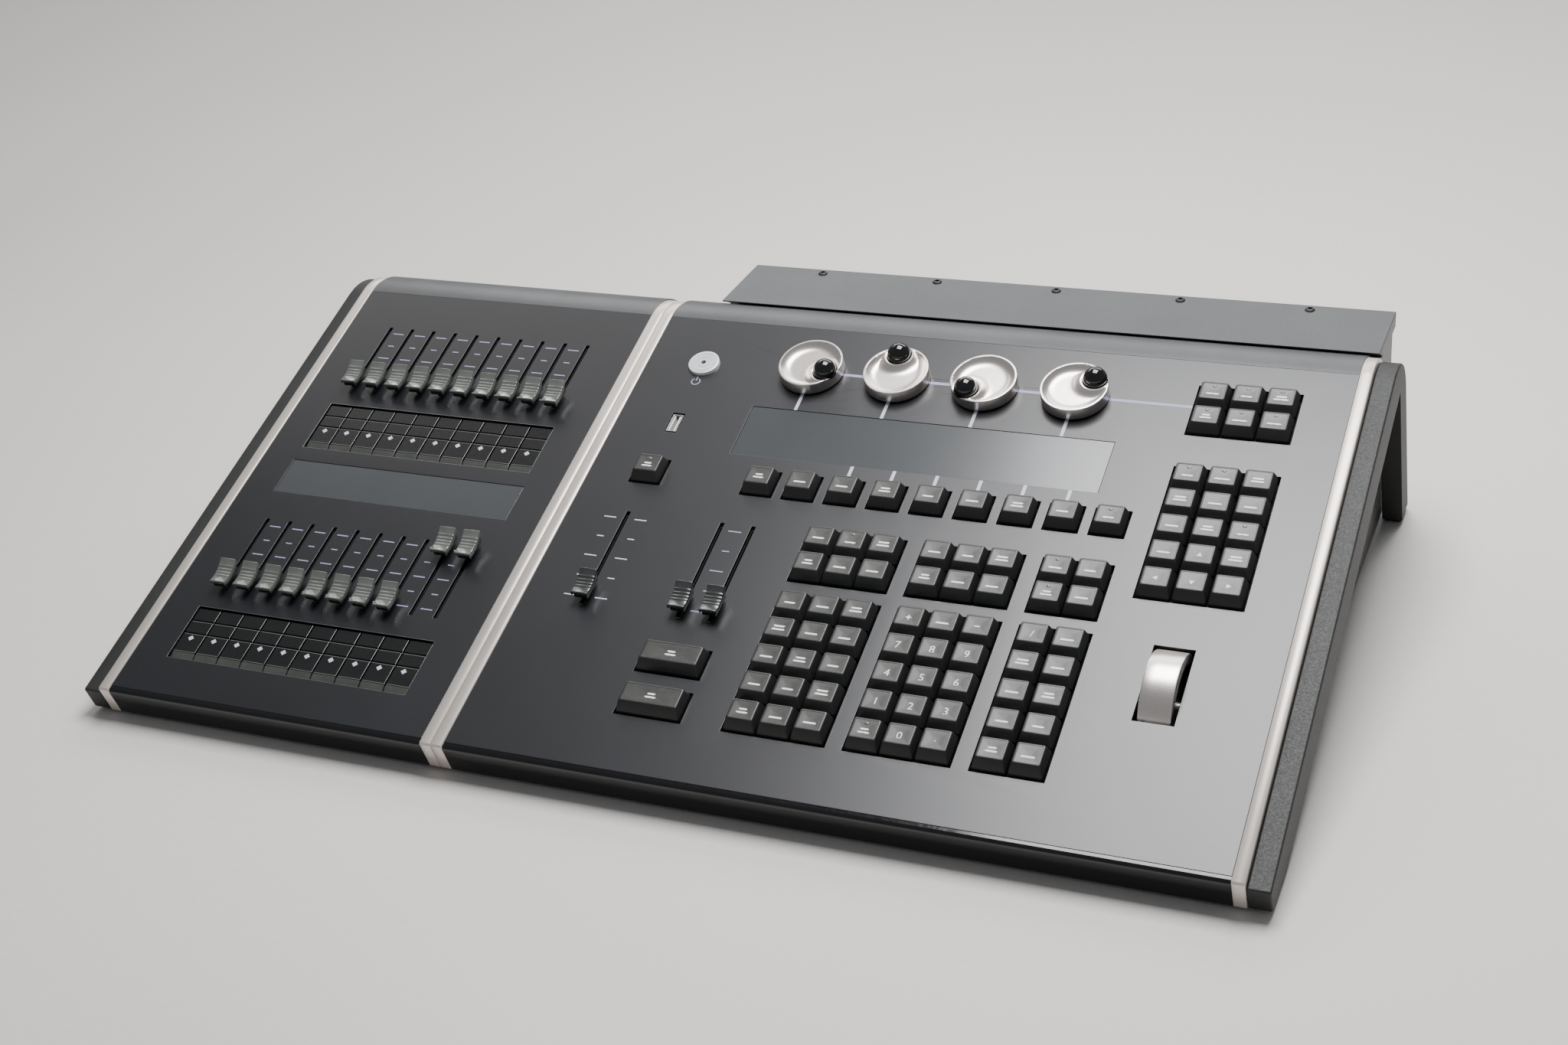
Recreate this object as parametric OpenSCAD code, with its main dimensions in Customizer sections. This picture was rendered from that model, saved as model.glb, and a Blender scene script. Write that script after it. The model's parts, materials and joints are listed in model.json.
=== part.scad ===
// Lighting control desk: a sloping console with a fader wing docked on its left.
// +X runs along the desk to the right, +Y to the rear, +Z up. The origin is the centre of the
// footprint, on the table. Pieces on the sloping face are placed in face coordinates:
// x from the middle of the desk, y up the slope from the front edge, z out of the face.

/* [Casework] */
// Slope of the face
tilt = 18; // [15:1:24]
// Height of the face's front edge above the table
front_h = 21; // [20:1:30]
// Thickness of the sloping body
slab_t = 26; // [24:1:40]
// Radius of the rounded rear cover
nose_r = 40; // [36:1:60]
// Thickness of the face plates and rear covers
plate_t = 2.5; // [2:0.5:4]
// Sheet thickness of the base pans and the rear box
sheet_t = 1.5; // [1:0.5:3]
// Width of one painted trim strip
trim_w = 7; // [4:0.5:12]
// How far the trims stand above the face
trim_proud = 0.5; // [0.2:0.1:2]
// Width of a side cheek
cheek_w = 12; // [8:1:20]
// How far the cheeks lie below the face
cheek_drop = 3; // [1:0.5:6]
// Thickness of a cheek's sloping rail
rail_t = 26; // [18:1:30]
// Thickness of a cheek's rear leg
leg_t = 20; // [12:1:26]
// Thickness of the front lip
lip_t = 4; // [3:0.5:8]
// Height of the front lip and of the trims' front faces
lip_h = 19; // [16:0.5:19]
// Height of the rubber feet
foot_h = 2.4; // [2:0.1:6]

/* [Rear box] */
// How far the box stands out behind the rear cover
box_past = 30; // [15:1:80]
// Depth of the box, front wall to rear wall
box_depth = 150; // [100:1:170]
// Box's set-back from the left end of the console plate
box_inset = 24.5; // [5:0.5:60]
// How far the box reaches past the right end of the console plate
box_over = 5; // [0:0.5:6]
// Height of the lid's side and rear flanges
lid_flange = 9; // [6:0.5:20]

/* [Console keys] */
// Key pitch
key_pitch = 19.05; // [19:0.05:24]
// Width of a key cap's top
key_top_w = 14.4; // [12:0.1:15]
// Depth of a key cap's top
key_top_d = 12.8; // [11:0.1:15]
// Height of the key tops above the face
key_h = 6.3; // [5:0.1:10]
// Key travel
key_travel = 3.5; // [2:0.1:4]
// Gap between neighbouring key blocks
block_gap = 10.8; // [6:0.1:20]
// Extra pitch of the row of screen keys, beyond the key pitch
screen_gap = 6.7; // [6:0.05:8]
// From the ends of the console plate to the first and last control
side_margin = 37.6; // [30:0.1:60]
// From the front edge to the first row of keys
front_margin = 47.8; // [40:0.1:70]
// From the encoders to the rear cover
rear_margin = 37.2; // [32:0.1:80]
// Least distance from the focus keys to the rear cover
focus_margin = 12; // [5:0.5:20]

/* [Console controls] */
// Diameter of an encoder knob
enc_d = 39.5; // [30:0.5:44]
// Height of an encoder knob's top above the face
enc_h = 8.2; // [7:0.1:14]
// Pitch of the encoders
enc_pitch = 54.15; // [50:0.05:70]
// Diameter of the finger ball on an encoder
ball_d = 14; // [10:0.5:15]
// Radius of the level wheel
wheel_r = 28.5; // [24:0.5:32]
// Width of the level wheel
wheel_w = 17.5; // [12:0.5:22]
// How far the level wheel stands out of the face
wheel_out = 11; // [8:0.5:14]
// Diameter of the power button
power_d = 19.5; // [14:0.5:24]
// Width of the console's screen window
screen_w = 221; // [180:1:250]
// Height of the console's screen window
screen_d = 39.5; // [30:0.5:44]
// Travel of the master faders
master_travel = 60; // [45:1:66]

/* [Fader wing] */
// Pitch of the wing's faders
fader_pitch = 16; // [15:0.5:24]
// Faders in one bank
fader_count = 10; // [10:1:10]
// From the ends of the wing plate to the first and last fader
wing_margin = 31.5; // [26:0.5:50]
// Travel of the wing's faders
wing_travel = 45; // [35:1:60]
// Width of a fader slot
slot_w = 2.5; // [2:0.1:4]
// Distance between the two banks
bank_pitch = 171; // [165:1:200]
// Height of the wing's screen window
wing_screen_d = 27; // [20:0.5:32]
// Height of the recess that holds a bank's bump keys
bump_d = 39; // [30:0.5:41]

/* [Hidden] */
$fn = 64;
e = 0.01;            // overlap that keeps a cut clean

// Clearances
key_gap = 0.7;       // cut-out beyond the key pitch, each side
stem_gap = 0.3;      // key stem in its guide
fit = 0.05;          // radial running clearance of shafts
window_gap = 0.15;   // screen glass in its window
seat_gap = 0.5;      // rear box to the body above it

// Face layout, in y from the front edge
wing_rear = 34;                                   // rear bank's upper end to the rear cover
keys_y = front_margin;                            // front row of the lower key blocks
upper_y = keys_y + 5 * key_pitch + 9.8;           // front row of the upper key blocks
screen_keys_y = upper_y + 3 * key_pitch + 1.55;
window_y = screen_keys_y + 20.9;                  // front edge of the screen window
enc_y = window_y + screen_d + 32.8;
page_y = upper_y + key_pitch;                     // front row of the page keys
focus_y = page_y + 6 * key_pitch + 6.8;
fader_mid = 110.75;                               // middle of the front bank's travel
wing_face = fader_mid + bank_pitch + wing_travel / 2 + wing_rear;
face_len = max(enc_y + rear_margin, focus_y + 1.5 * key_pitch + focus_margin, wing_face);

// Widths and x positions, from the middle of the desk
wing_w = (fader_count - 1) * fader_pitch + 2 * wing_margin;
fader_zone = 121.9;                               // first control column to the first key column
page_col = 8 * key_pitch + 2 * block_gap + 15.75; // first key column to the first page key
console_w = 2 * side_margin + fader_zone + page_col + 2 * key_pitch;
desk_w = 2 * cheek_w + 4 * trim_w + wing_w + console_w;
wing_x = -desk_w / 2 + cheek_w + trim_w;
con_x = wing_x + wing_w + 2 * trim_w;
con_end = con_x + console_w;
master_x = con_x + side_margin;                   // grand master column
pair_x = [master_x + 59.5, master_x + 78.8];      // the pair of playback faders
left_x = master_x + fader_zone;                   // first column of each key block
number_x = left_x + 3 * key_pitch + block_gap;
right_x = number_x + 3 * key_pitch + block_gap;
page_x = left_x + page_col;
screen_pitch = key_pitch + screen_gap;
window_x = left_x - 78;
enc_x = left_x - 50.8;
screen_key_x = left_x - 51;
bump_w = fader_count * fader_pitch + 0.5;
bump_x = wing_x + wing_margin - fader_pitch / 2 - 0.25;
wing_screen_x = bump_x - 0.5;
wing_screen_w = bump_w + 2;
wing_screen_y = fader_mid + bank_pitch / 2 - 35.2;
bump_y = fader_mid - wing_travel / 2 - 60.2;
master_mid = upper_y - 9.6;                       // middle of the master faders' travel
master_rest = 3.5;                                // how far a master fader rests above its end
big_key_x = pair_x[0] + 9.1;
wheel_x = page_x + key_pitch;
wheel_y = keys_y + 60;                            // level wheel, beside the lower key blocks
wheel_z = wheel_r - wheel_out;                    // wheel axis below the face
wheel_side = 2;                                   // wheel to the side of its opening
wheel_cut = 2 * sqrt(wheel_r * wheel_r - pow(wheel_z - plate_t, 2)) + 1; // its opening's length
button_y = enc_y - 2;                             // power button
usb_y = enc_y - 52.8;                             // service socket
usb_mouth = [8, 16];                              // opening over it
button_gap = 0.25;                                // power button in its opening
shaft_r = 3;                                      // encoder and wheel shafts

// Section sizes
front_over = 1.5;                                 // lips and trims ahead of the face's front edge
floor_z = foot_h;
rail_r = nose_r - cheek_drop;
box_x = con_x + box_inset;
box_w = con_end + box_over - box_x;

// Keys
guide_t = 4;                                      // thickness of the guide web under the keys
skirt = 1.5;                                      // how far a cap reaches below the face at rest
stem = 5;                                         // side of a key's square stem
web_top = skirt + key_travel + 0.5;
web_low = web_top + guide_t;

// World Y and Z of a point on the slope, and where the slope meets a level or an upright
function on_y(y, z) = y * cos(tilt) - z * sin(tilt);
function on_z(y, z) = front_h + y * sin(tilt) + z * cos(tilt);
function down_to(y, level) = (level - front_h - y * sin(tilt)) / cos(tilt);
function along_to(z, level) = (level - front_h - z * cos(tilt)) / sin(tilt);
function along_y(z, back) = (back + z * sin(tilt)) / cos(tilt);

box_rear = on_y(face_len, -nose_r) + nose_r + box_past;
box_front = box_rear - box_depth;
box_top = on_z(face_len, -nose_r) + nose_r - 0.6;
y_min = on_y(-front_over, trim_proud);
y_max = box_rear + sheet_t;
face_y0 = -(y_min + y_max) / 2;                   // world Y of the face's front edge

// Fader rests: every fader is down except the last two of the front bank
function rest_of(bank, i) = (bank == 0 && i > fader_count - 2) ? wing_travel / 2 : -wing_travel / 2;

module on_face() { translate([0, face_y0, front_h]) rotate([tilt, 0, 0]) children(); }
// A slab of the face: x0, y0, width, length, from z = -depth to z = top
module slab(x, y, w, d, top, depth) { translate([x, y, -depth]) cube([w, d, top + depth]); }
// A section drawn in world Y and Z, extruded along X
module across(x, w) { translate([x, face_y0, 0]) rotate([90, 0, 90]) linear_extrude(w) children(); }
// A section drawn in face y and z, for use inside across()
module slope() { translate([0, front_h]) rotate(tilt) children(); }
module above(level) { translate([-100, level]) square([900, 500]); }

// ---- Casework ----
// Round back of radius r, solid or hollow, down to z = -low
module nose(r, wall, low) {
  slope() intersection() {
    translate([face_len, -nose_r]) difference() {
      circle(r, $fn = 96);
      if (wall > 0) circle(r - wall, $fn = 96);
    }
    translate([face_len, -low]) square([r + 1, nose_r + low]);
  }
}

// Tray section: outline inset by t on every side but the top
module pan_section(t, deep) {
  front = lip_t - front_over + t;
  low = floor_z + t;
  under = -slab_t + t;
  flat_end = deep ? box_front - t : 0;
  tail = face_len + sqrt(nose_r * nose_r - (nose_r - slab_t) * (nose_r - slab_t)) - 0.3;
  corner = deep ? [[flat_end, low], [flat_end, on_z(along_y(under, flat_end), under)]]
                : [[on_y(along_to(under, low), under), low]];
  polygon(concat([
    [on_y(front, -plate_t + (t > 0 ? 1 : 0)), on_z(front, -plate_t + (t > 0 ? 1 : 0))],
    [on_y(front, down_to(front, low)), low]], corner, [
    [on_y(tail + t, under), on_z(tail + t, under)],
    t > 0 ? [on_y(tail + t, under + 1), on_z(tail + t, under + 1)]
          : [on_y(tail, under + sheet_t), on_z(tail, under + sheet_t)],
    t > 0 ? [on_y(face_len + 60, under + 1), on_z(face_len + 60, under + 1)]
          : [on_y(face_len, under + sheet_t), on_z(face_len, under + sheet_t)],
    t > 0 ? [on_y(face_len + 60, -plate_t + 1), on_z(face_len + 60, -plate_t + 1)]
          : [on_y(face_len, -plate_t), on_z(face_len, -plate_t)]]));
}

module base_pan(x, w, deep) {
  difference() {
    across(x, w) pan_section(0, deep);
    across(x + sheet_t, w - 2 * sheet_t) pan_section(sheet_t, deep);
  }
}

module console_base_pan() { color("dimgray") base_pan(con_x, console_w, true); }
module wing_base_pan() { color("dimgray") base_pan(wing_x, wing_w, false); }

module lip_section() {
  slope() difference() {
    translate([-front_over, -lip_h]) square([lip_t, lip_h - 0.3]);
    translate([-front_over - e, -0.3 - 2.5 + e]) difference() {
      square([2.5, 2.5]);
      translate([2.5, 0]) circle(2.5);
    }
  }
}

module front_lips() {
  color("black") {
    across(wing_x, wing_w) lip_section();
    across(con_x, console_w) lip_section();
  }
}

module rear_covers() {
  color("#3a3c3e") for (p = [[wing_x, wing_w], [con_x, console_w]])
    across(p[0], p[1]) nose(nose_r, plate_t, slab_t - sheet_t);
}

module trim_section() {
  slope() translate([-front_over, -lip_h]) square([face_len + front_over, lip_h + trim_proud]);
  nose(nose_r + trim_proud, 0, lip_h);
}

module trim_strips() {
  color("#d8d4c8") for (x = [wing_x - trim_w, wing_x + wing_w, con_x - trim_w, con_end])
    across(x, trim_w) trim_section();
}

module cheek_section() {
  leg_y = face_len + rail_r - leg_t;
  intersection() {
    above(floor_z);
    union() {
      slope() translate([-front_over, -cheek_drop - rail_t]) square([face_len + front_over, rail_t]);
      nose(rail_r, 0, cheek_drop + rail_t);
      slope() intersection() {
        translate([face_len, -nose_r]) circle(rail_r, $fn = 96);
        translate([leg_y, -nose_r]) square([leg_t, nose_r]);
      }
      slope() translate([leg_y, -2 * nose_r - face_len]) square([leg_t, nose_r + face_len]);
    }
  }
}

module side_cheeks() {
  color("#4a4b4c") for (x = [-desk_w / 2, desk_w / 2 - cheek_w]) across(x, cheek_w) cheek_section();
}

module rubber_feet() {
  front = 18;
  leg = on_y(face_len + rail_r - leg_t / 2, down_to(face_len + rail_r - leg_t / 2, 0));
  color("#151515") {
    for (x = [wing_x + 20, wing_x + wing_w - 20, con_x + 30, con_end - 30])
      translate([x, face_y0 + front, 0]) cylinder(h = floor_z, r = 7);
    for (x = [box_x + 30, box_x + box_w - 30])
      translate([x, face_y0 + box_rear - 25, 0]) cylinder(h = floor_z, r = 9);
    for (x = [-desk_w / 2, desk_w / 2 - cheek_w])
      translate([x + 1.5, face_y0 + leg - 8, 0]) cube([cheek_w - 3, 16, floor_z]);
  }
}

// ---- Rear box ----
// Outline inset by t on every side; the top follows the body above it
module box_section(t) {
  difference() {
    translate([box_front + t, floor_z + t])
      square([box_depth - 2 * t, box_top - floor_z - 2 * t]);
    slope() translate([-50, -slab_t - seat_gap - t]) square([face_len + 50, 300]);
    slope() intersection() {
      translate([face_len, -nose_r]) circle(nose_r + trim_proud + seat_gap + t, $fn = 96);
      translate([face_len - 1, -slab_t - seat_gap - t]) square([200, 300]);
    }
  }
}

// Sockets in the rear wall: x from the box's left end and centre height, then their sizes
inlet_at = [42, 40];
network_at = [[92, 38], [112, 38]];
data_at = [[160, 44], [196, 44]];
display_at = [[246, 38], [292, 38]];
inlet_size = [27, 19.5];
network_size = [16, 13.6];
display_size = [37, 12];
data_r = 12;
vents = 12;
vent_size = [2.5, 30];
vent_pitch = 6;
module rear_wall(x, z) { translate([box_x + x, face_y0 + box_rear, z]) children(); }

// Square opening through the rear wall, its size [width, height]
module wall_cut(p, size) {
  rear_wall(p[0], p[1]) translate([-size[0] / 2, -5, -size[1] / 2]) cube([size[0], 10, size[1]]);
}

module rear_box() {
  color("#444648") difference() {
    across(box_x, box_w) box_section(0);
    across(box_x + sheet_t, box_w - 2 * sheet_t) box_section(sheet_t);
    across(box_x - 1, box_w + 2) above(box_top - sheet_t - 0.1);
    wall_cut(inlet_at, inlet_size);
    for (p = network_at) wall_cut(p, network_size);
    for (p = display_at) wall_cut(p, display_size);
    for (p = data_at)
      rear_wall(p[0], p[1]) rotate([90, 0, 0]) cylinder(h = 20, r = data_r, center = true);
    for (i = [0:vents - 1])
      wall_cut([box_w - 84 + vent_size[0] / 2 + i * vent_pitch, 60 + vent_size[1] / 2], vent_size);
  }
}

module rear_box_lid() {
  lid_front = on_y(face_len, -nose_r) + 14;
  color("#4c4e50") translate([0, face_y0, 0]) difference() {
    translate([box_x - sheet_t, lid_front, box_top - lid_flange])
      cube([box_w + 2 * sheet_t, box_rear + sheet_t - lid_front, lid_flange]);
    translate([box_x, lid_front - 1, box_top - lid_flange - 1])
      cube([box_w, box_rear + 1 - lid_front, lid_flange + 1 - sheet_t]);
    translate([0, -face_y0, 0]) across(box_x - 3, box_w + 6) slope()
      translate([face_len, -nose_r]) circle(nose_r + trim_proud + seat_gap, $fn = 96);
  }
}

// Socket body of a given size that reaches `deep` into the box and `proud` out of it
module socket_body(size, deep, proud) {
  translate([-size[0] / 2, -deep, -size[1] / 2]) cube([size[0], deep + proud, size[1]]);
}

module rear_connectors() {
  pin = [2, 13, 4];
  color("#202122") {
    rear_wall(inlet_at[0], inlet_at[1]) {
      difference() {
        socket_body(inlet_size, 20, 1.5);
        socket_body([22, 15], 15, 15);
      }
      for (p = [[-7, -2], [7, -2], [0, 2]])
        translate([p[0] - pin[0] / 2, -15.5, p[1] - pin[2] / 2]) cube(pin);
    }
    for (p = network_at) rear_wall(p[0], p[1]) difference() {
      socket_body(network_size, 18, 1);
      translate([0, 0, -0.25]) socket_body([11.8, 7.5], 12, 18);
    }
    for (p = display_at) rear_wall(p[0], p[1]) socket_body(display_size, 14, 1);
    for (p = data_at)
      rear_wall(p[0], p[1]) rotate([90, 0, 0]) translate([0, 0, -1.5]) cylinder(h = 22, r = data_r);
  }
}

// ---- Face plates ----
// Cut-out of a block of keys whose front left key is centred at x, y
module block_cut(x, y, cols, rows, top, depth, grow) {
  g = key_gap + grow;
  slab(x - key_pitch / 2 - g, y - key_pitch / 2 - g,
       cols * key_pitch + 2 * g, rows * key_pitch + 2 * g, top, depth);
}

// Every block of single keys: x, y of its front left key, columns, rows
blocks = concat([
  [number_x, keys_y, 3, 5], [left_x, keys_y, 3, 5], [right_x, keys_y, 2, 5],
  [left_x, upper_y, 3, 2], [number_x, upper_y, 3, 2], [right_x, upper_y, 2, 2],
  [page_x, page_y, 3, 5], [page_x, focus_y, 3, 2], [master_x, screen_keys_y, 1, 1]],
  [for (i = [0:8]) [screen_key_x + i * screen_pitch, screen_keys_y, 1, 1]]);
big_keys = [[big_key_x, keys_y + 0.5 + key_pitch + 10.35], [big_key_x, keys_y + 0.5]]; // stop, run
masters = [[master_x, master_mid, master_travel], [pair_x[0], master_mid, master_travel],
           [pair_x[1], master_mid, master_travel]];
// A fader's place: x, middle of its travel, travel
function wing_fader(bank, i) =
  [wing_x + wing_margin + i * fader_pitch, fader_mid + bank * bank_pitch, wing_travel];

module big_cut(p, top, depth, grow) {
  g = key_gap + grow;
  slab(p[0] - key_pitch - g, p[1] - key_pitch / 2 - g, 2 * (key_pitch + g), key_pitch + 2 * g, top, depth);
}

slot_end = 5.5;   // slot beyond the fader's travel, each end
module slot_cut(f) {
  slab(f[0] - slot_w / 2, f[1] - f[2] / 2 - slot_end, slot_w, f[2] + 2 * slot_end, 1, plate_t + 1);
}

module console_face_plate() {
  front = lip_t - front_over;
  color("#26282d") on_face() difference() {
    slab(con_x, front, console_w, face_len - front, 0, plate_t);
    for (b = blocks) block_cut(b[0], b[1], b[2], b[3], 1, plate_t + 1, 0);
    for (p = big_keys) big_cut(p, 1, plate_t + 1, 0);
    for (f = masters) slot_cut(f);
    slab(window_x, window_y, screen_w, screen_d, 1, plate_t + 1);
    slab(wheel_x - wheel_w / 2 - wheel_side, wheel_y - wheel_cut / 2,
         wheel_w + 2 * wheel_side, wheel_cut, 1, plate_t + 1);
    slab(master_x - usb_mouth[0] / 2, usb_y - usb_mouth[1] / 2, usb_mouth[0], usb_mouth[1], 1, plate_t + 1);
    translate([master_x, button_y, -plate_t - 1]) cylinder(h = plate_t + 2, r = power_d / 2 + button_gap);
    for (i = [0:3])
      translate([enc_x + i * enc_pitch, enc_y, -plate_t - 1]) cylinder(h = plate_t + 2, r = shaft_r + 0.6);
  }
}

module wing_face_plate() {
  front = lip_t - front_over;
  color("#222428") on_face() difference() {
    slab(wing_x, front, wing_w, face_len - front, 0, plate_t);
    for (bank = [0:1]) {
      for (i = [0:fader_count - 1]) slot_cut(wing_fader(bank, i));
      slab(bump_x, bump_y + bank * bank_pitch, bump_w, bump_d, 1, plate_t + 1);
    }
    slab(wing_screen_x, wing_screen_y, wing_screen_w, wing_screen_d, 1, plate_t + 1);
  }
}

// A screen: its window flush in the plate, on a panel that laps under it
module display(x, y, w, d) {
  slab(x + window_gap, y + window_gap, w - 2 * window_gap, d - 2 * window_gap, -0.3, plate_t + e);
  slab(x - 3, y - 3, w + 6, d + 6, -plate_t, plate_t + 5);
}

module display_panels() {
  color("#565a5c") on_face() {
    display(window_x, window_y, screen_w, screen_d);
    display(wing_screen_x, wing_screen_y, wing_screen_w, wing_screen_d);
  }
}

// ---- Inside ----
board_t = 1.6;
board_z = web_low + key_travel + 3 + board_t;     // underside of the control boards
post_ends = [12, 20];                             // board posts from the ends of a plate

// Control board under a face plate, from y0 to 10 mm short of the rear, with its four posts
module control_board(x, w, y0, side) {
  slab(x + 8, y0, w - 16, face_len - y0 - 10, -board_z + board_t, board_z);
  for (px = [x + post_ends[0], x + w - post_ends[1]], y = [y0 + 10, face_len - 24])
    slab(px, y, side, side, -plate_t, board_z - board_t);
}

module circuit_boards() {
  processor = [200, 110, board_t];                // board on the floor of the rear box
  stand = 8;
  color("darkgreen") {
    on_face() difference() {
      control_board(con_x, console_w, 30, 8);
      slab(wheel_x - 20, wheel_y - wheel_r - 5.5, 40, 2 * wheel_r + 11, 0, board_z + 1);
    }
    on_face() control_board(wing_x, wing_w, 40, 6);
    translate([box_x + 60, face_y0 + box_front + 15, floor_z + stand]) cube(processor);
    for (x = [70, 240], y = [25, 105])
      translate([box_x + x, face_y0 + box_front + y, floor_z + sheet_t]) cylinder(h = stand - sheet_t, r = 3);
  }
}

module usb_socket() {
  shell = [6.6, 14];
  mouth = [5.12, 12.5];
  flange = [11, 18];
  color("silver") on_face() translate([master_x, usb_y, 0]) difference() {
    union() {
      slab(-shell[0] / 2, -shell[1] / 2, shell[0], shell[1], -0.2, plate_t + 13);
      slab(-flange[0] / 2, -flange[1] / 2, flange[0], flange[1], -plate_t, plate_t + 1.5);
    }
    slab(-mouth[0] / 2, -mouth[1] / 2, mouth[0], mouth[1], 1, plate_t + 11.5);
  }
}

// Body of a slide fader under its slot, with a channel for the stem
module fader_body(f) {
  difference() {
    slab(f[0] - 4.5, f[1] - f[2] / 2 - 8, 9, f[2] + 16, -plate_t, plate_t + 9);
    slab(f[0] - 1.1, f[1] - f[2] / 2 - 4, 2.2, f[2] + 8, 1, plate_t + 7.5);
  }
}

module fader_bodies() {
  color("#9a9ea0") on_face() {
    for (f = masters) fader_body(f);
    for (bank = [0:1], i = [0:fader_count - 1]) fader_body(wing_fader(bank, i));
  }
}

module control_mounts() {
  cheek = 1.5;                                    // half the thickness of a wheel bracket
  color("#7c8288") on_face() {
    for (i = [0:3]) translate([enc_x + i * enc_pitch, enc_y, 0]) difference() {
      slab(-7, -7, 14, 14, -plate_t, plate_t + 8);
      translate([0, 0, -plate_t - 7]) cylinder(h = 10, r = shaft_r + fit);
    }
    translate([master_x, button_y, 0]) difference() {
      slab(-12, -12, 24, 24, -plate_t, plate_t + 9);
      translate([0, 0, -plate_t - 7]) cylinder(h = 10, r = power_d / 2 + button_gap);
    }
    for (side = [-1, 1]) translate([wheel_x + side * (wheel_w / 2 + 4), wheel_y, -wheel_z]) difference() {
      translate([-cheek, -8, -8]) cube([2 * cheek, 16, wheel_z + 8 - plate_t]);
      rotate([0, 90, 0]) cylinder(h = 10, r = shaft_r + fit, center = true);
    }
  }
}

module stem_hole(x, y) {
  side = stem + 2 * stem_gap;
  slab(x - side / 2, y - side / 2, side, side, 0, web_low + 1);
}

bump_stem_y = [12, 30];   // stems of the long and short bump keys, from the front of the recess
module key_guides() {
  wall = 1.2;
  color("#30343a") on_face() {
    for (b = blocks) difference() {
      block_cut(b[0], b[1], b[2], b[3], -plate_t, web_low, wall);
      block_cut(b[0], b[1], b[2], b[3], 0, web_top, 0);
      for (c = [0:b[2] - 1], r = [0:b[3] - 1]) stem_hole(b[0] + c * key_pitch, b[1] + r * key_pitch);
    }
    for (p = big_keys) difference() {
      big_cut(p, -plate_t, web_low, wall);
      big_cut(p, 0, web_top, 0);
      stem_hole(p[0], p[1]);
    }
    for (bank = [0:1]) difference() {
      slab(bump_x - wall, bump_y + bank * bank_pitch - wall,
           bump_w + 2 * wall, bump_d + 2 * wall, -plate_t, web_low);
      slab(bump_x, bump_y + bank * bank_pitch, bump_w, bump_d, 0, web_top);
      for (i = [0:fader_count - 1], y = bump_stem_y)
        stem_hole(wing_x + wing_margin + i * fader_pitch, bump_y + bank * bank_pitch + y);
    }
  }
}

// Two blocks under the paired trims that join the wing to the console
module dock_blocks() {
  length = 30;
  color("#8a8f94") on_face() for (y = [60, 270])
    slab(wing_x + wing_w, y, 2 * trim_w, length, -lip_h, lip_h + 5);
}

// ---- Moving pieces ----
// One key cap with its stem; w and d are the base, tw and td the top
module key_cap(w, d, tw, td) {
  back = 1.2;
  intersection() {
    rotate([90, 0, 90]) linear_extrude(w + 2, center = true)
      polygon([[-d / 2, -skirt], [d / 2, -skirt], [td / 2 + back, key_h], [-td / 2 + back, key_h]]);
    rotate([90, 0, 0]) linear_extrude(d + 2, center = true)
      polygon([[-w / 2, -skirt], [w / 2, -skirt], [tw / 2, key_h], [-tw / 2, key_h]]);
  }
  slab(-stem / 2, -stem / 2, stem, stem, -skirt + 0.5, web_low + 1.5);
}

key_base = key_pitch - 0.85;
module key_block(b) {
  on_face() for (c = [0:b[2] - 1], r = [0:b[3] - 1])
    translate([b[0] + c * key_pitch, b[1] + r * key_pitch, 0])
      key_cap(key_base, key_base, key_top_w, key_top_d);
}
module big_key(p) {
  on_face() translate([p[0], p[1], 0])
    key_cap(key_base + key_pitch, key_base, key_top_w + key_pitch, key_top_d);
}

module number_keys() { color("#3c3e40") key_block(blocks[0]); }
module left_keys() { color("#3c3e40") key_block(blocks[1]); }
module right_keys() { color("#3c3e40") key_block(blocks[2]); }
module upper_keys() { color("#3c3e40") for (i = [3:5]) key_block(blocks[i]); }
module page_keys() { color("#3c3e40") key_block(blocks[6]); }
module focus_keys() { color("#3c3e40") key_block(blocks[7]); }
module blackout_key() { color("#3c3e40") key_block(blocks[8]); }
module screen_keys() { color("#3c3e40") for (i = [9:17]) key_block(blocks[i]); }
module stop_key() { color("#3c3e40") big_key(big_keys[0]); }
module run_key() { color("#3c3e40") big_key(big_keys[1]); }

// A bank's bump keys: a long key with a short one behind it, under each fader
module bump_keys(bank) {
  bump_top = -0.8;   // the keys lie just below the face
  split = 23.4;
  color("#1e1f21") on_face() for (i = [0:fader_count - 1])
    translate([wing_x + wing_margin + i * fader_pitch, bump_y + bank * bank_pitch, 0]) {
      slab(-fader_pitch / 2 + 0.5, 0.6, fader_pitch - 1, split - 0.8, bump_top, 4);
      slab(-fader_pitch / 2 + 0.5, split + 0.2, fader_pitch - 1, bump_d - split - 0.8, bump_top, 4);
      for (y = bump_stem_y) slab(-stem / 2, y - stem / 2, stem, stem, -3, web_low + 1.5);
    }
}

// A fader: a curved cap, low at the front and tall behind, on a flat stem that runs in the slot
module fader(f, offset) {
  cap_w = 10.4;
  translate([f[0], f[1] + offset, 0]) {
    rotate([90, 0, 90]) translate([0, 0, -cap_w / 2]) linear_extrude(cap_w)
      polygon([[-7.5, 3.2], [7, 2.2], [8.2, 11.5], [3.5, 9.6], [-3, 8], [-8.2, 8.6]]);
    slab(-0.6, -2, 1.2, 4, 3.5, plate_t + 7);
  }
}
module wing_fader_part(bank, i) {
  color("#8f9694") on_face() fader(wing_fader(bank, i - 1), rest_of(bank, i));
}
module master_fader(i) {
  color("#6d7272") on_face() fader(masters[i - 1], master_rest - master_travel / 2);
}

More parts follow.
